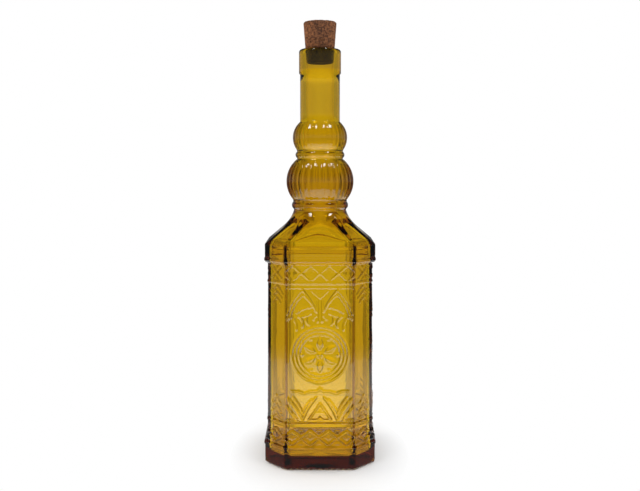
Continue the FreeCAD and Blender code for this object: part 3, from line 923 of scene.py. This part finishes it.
def make_floor():
    """A sheet of white paper that takes a soft shadow near the bottle."""
    bm = bmesh.new()
    bmesh.ops.create_circle(bm, cap_ends=True, segments=FLOOR_SIDES, radius=FLOOR_RADIUS)
    mesh = bpy.data.meshes.new("white_floor")
    bm.to_mesh(mesh)
    bm.free()
    floor = bpy.data.objects.new("white_floor", mesh)
    bpy.context.scene.collection.objects.link(floor)
    floor.data.materials.append(floor_paper())


make_floor()

# ---------------------------------------------------------------- backdrop

# Its level through the glass, as (share of the way from straight down to straight up, level).
SCREEN_LEVELS = ((0.50, 0.74), (0.54, 0.66), (0.60, 0.92), (0.76, 0.90), (0.88, 1.0))

# It dims between its four screens, by how far a direction is turned from them.
GAP_EDGE = (0.26, 0.44)
GAP_LEVEL = 0.75

# Mirrored in the glass, it dims upwards between two heights, from one level to the other.
MIRRORED_HEIGHTS = (0.1, 0.35)
MIRRORED_LEVELS = (0.28, 0.05)

# What it adds to the light on the matt cork and paper.
MATT_LEVEL = 0.6


def screens_seen(tree, parts, way):
    """Level of the backdrop through the glass: four white screens with darker gaps between them."""
    rise = add(tree, "ShaderNodeMapRange", Value=parts.outputs["Z"], From_Min=-1.0, From_Max=1.0)
    level = add(tree, "ShaderNodeValToRGB", Fac=rise.outputs["Result"])
    ramp = level.color_ramp
    ramp.elements[0].position, ramp.elements[1].position = SCREEN_LEVELS[0][0], SCREEN_LEVELS[-1][0]
    for position, _ in SCREEN_LEVELS[1:-1]:
        ramp.elements.new(position)
    for element, (_, grey) in zip(ramp.elements, SCREEN_LEVELS):
        element.color = (grey, grey, grey, 1.0)
    product = add(
        tree, "ShaderNodeMath", {"operation": "MULTIPLY"}, i0=parts.outputs["X"], i1=parts.outputs["Y"],
    )
    flat = add(tree, "ShaderNodeVectorMath", {"operation": "MULTIPLY"}, i0=way, i1=(1.0, 1.0, 0.0))
    square = add(
        tree, "ShaderNodeVectorMath", {"operation": "DOT_PRODUCT"}, i0=flat.outputs[0], i1=flat.outputs[0],
    )
    share = add(
        tree, "ShaderNodeMath", {"operation": "DIVIDE"}, i0=product.outputs[0], i1=square.outputs["Value"],
    )
    skew = add(tree, "ShaderNodeMath", {"operation": "ABSOLUTE"}, i0=share.outputs[0])
    gap = add(
        tree, "ShaderNodeMapRange", {"interpolation_type": "SMOOTHSTEP"}, Value=skew.outputs[0],
        From_Min=GAP_EDGE[0], From_Max=GAP_EDGE[1], To_Min=1.0, To_Max=GAP_LEVEL,
    )
    screens = add(
        tree, "ShaderNodeMath", {"operation": "MULTIPLY"}, i0=level.outputs["Color"],
        i1=gap.outputs["Result"],
    )
    return screens.outputs[0]


def make_studio():
    """A white backdrop for the camera, with darker gaps where the glass shows it and dim where the glass
    mirrors it, so that the glass has edges."""
    world = bpy.data.worlds.new("studio")
    bpy.context.scene.world = world
    world.use_nodes = True
    tree = world.node_tree
    tree.nodes.clear()
    way = add(tree, "ShaderNodeTexCoord").outputs["Generated"]
    parts = add(tree, "ShaderNodeSeparateXYZ", Vector=way)
    mirrored = add(
        tree, "ShaderNodeMapRange", Value=parts.outputs["Z"], From_Min=MIRRORED_HEIGHTS[0],
        From_Max=MIRRORED_HEIGHTS[1], To_Min=MIRRORED_LEVELS[0], To_Max=MIRRORED_LEVELS[1],
    )
    path = add(tree, "ShaderNodeLightPath")
    level = MATT_LEVEL
    for ray, ray_level in (
        ("Is Glossy Ray", mirrored.outputs["Result"]),
        ("Is Transmission Ray", screens_seen(tree, parts, way)),
        ("Is Camera Ray", 1.0),
    ):
        level = add(
            tree, "ShaderNodeMix", {"data_type": "FLOAT"}, i0=path.outputs[ray], i2=level, i3=ray_level,
        ).outputs[0]
    light = add(tree, "ShaderNodeBackground", Color=colour("#FFFFFF"), Strength=level)
    add(tree, "ShaderNodeOutputWorld", Surface=light.outputs[0])


make_studio()

# ---------------------------------------------------------------- lamps, in metres and watts

LAMP_AIM = Vector((0, 0, 0.15))
SOFTBOX_SIZE = 0.4
SOFTBOX_WATTS = 7.0
CORK_LIGHT_SIZE = 0.3
CARD_SIZE = (0.6, 0.22)
CARD_PLACE = (0, -0.24, 0.002)
FRONT_CARD_WATTS = 0.45
SIDE_CARD_WATTS = 0.12


def flat_lamp(name, shape, size, watts):
    """A flat lamp that is itself unseen."""
    data = bpy.data.lights.new(name, "AREA")
    data.shape = shape
    data.size = size
    data.energy = watts
    lamp = bpy.data.objects.new(name, data)
    bpy.context.scene.collection.objects.link(lamp)
    lamp.visible_camera = False
    return lamp


def softbox(name, place, size, watts):
    """A square lamp that faces the middle of the bottle."""
    lamp = flat_lamp(name, "SQUARE", size, watts)
    lamp.location = place
    lamp.rotation_euler = (LAMP_AIM - Vector(place)).to_track_quat("-Z", "Y").to_euler()
    return lamp


def cork_light(name, place, hex_colour, watts):
    """A lamp low at one side for the rough cork, which the smooth glass neither mirrors nor shows."""
    lamp = softbox(name, place, CORK_LIGHT_SIZE, watts)
    lamp.data.color = colour(hex_colour)[:3]
    lamp.visible_glossy = False
    lamp.visible_transmission = False


def low_card(side):
    """A strip lying on the paper on one side of the bottle, which lifts the gloss of its lower half. Those
    at the front and the back are the brighter."""
    watts = SIDE_CARD_WATTS if side % 2 else FRONT_CARD_WATTS
    card = flat_lamp(f"low_card_{side}", "RECTANGLE", CARD_SIZE[0], watts)
    card.data.size_y = CARD_SIZE[1]
    turn = Matrix.Rotation(side * math.pi / 2, 4, "Z")
    card.matrix_world = turn @ Matrix.Translation(CARD_PLACE) @ Matrix.Rotation(math.pi, 4, "X")
    card.visible_transmission = False


cork_light("left_cork_light", (-0.7, 0.1, 0.45), "#FFF6EC", 4.0)
cork_light("right_cork_light", (0.7, 0.1, 0.45), "#FFFFFF", 3.0)
softbox("left_softbox", (-0.65, -0.6, 1.5), SOFTBOX_SIZE, SOFTBOX_WATTS)
softbox("right_softbox", (0.7, -0.5, 1.5), SOFTBOX_SIZE, SOFTBOX_WATTS)
for side in range(4):
    low_card(side)

# ---------------------------------------------------------------- camera, in metres and degrees

CAMERA_PLACE = (0.0, -0.591, 0.2228)
CAMERA_DOWN = 5.2

camera_data = bpy.data.cameras.new("camera")
camera_data.sensor_width = 36.0
camera_data.lens = 44.27
camera_data.shift_y = -0.0203
camera_data.clip_start = 0.01
camera_data.clip_end = 50
camera = bpy.data.objects.new("camera", camera_data)
bpy.context.scene.collection.objects.link(camera)
camera.location = CAMERA_PLACE
camera.rotation_euler = (math.radians(90 - CAMERA_DOWN), 0, 0)
bpy.context.scene.camera = camera
bpy.context.scene.view_settings.view_transform = "Standard"
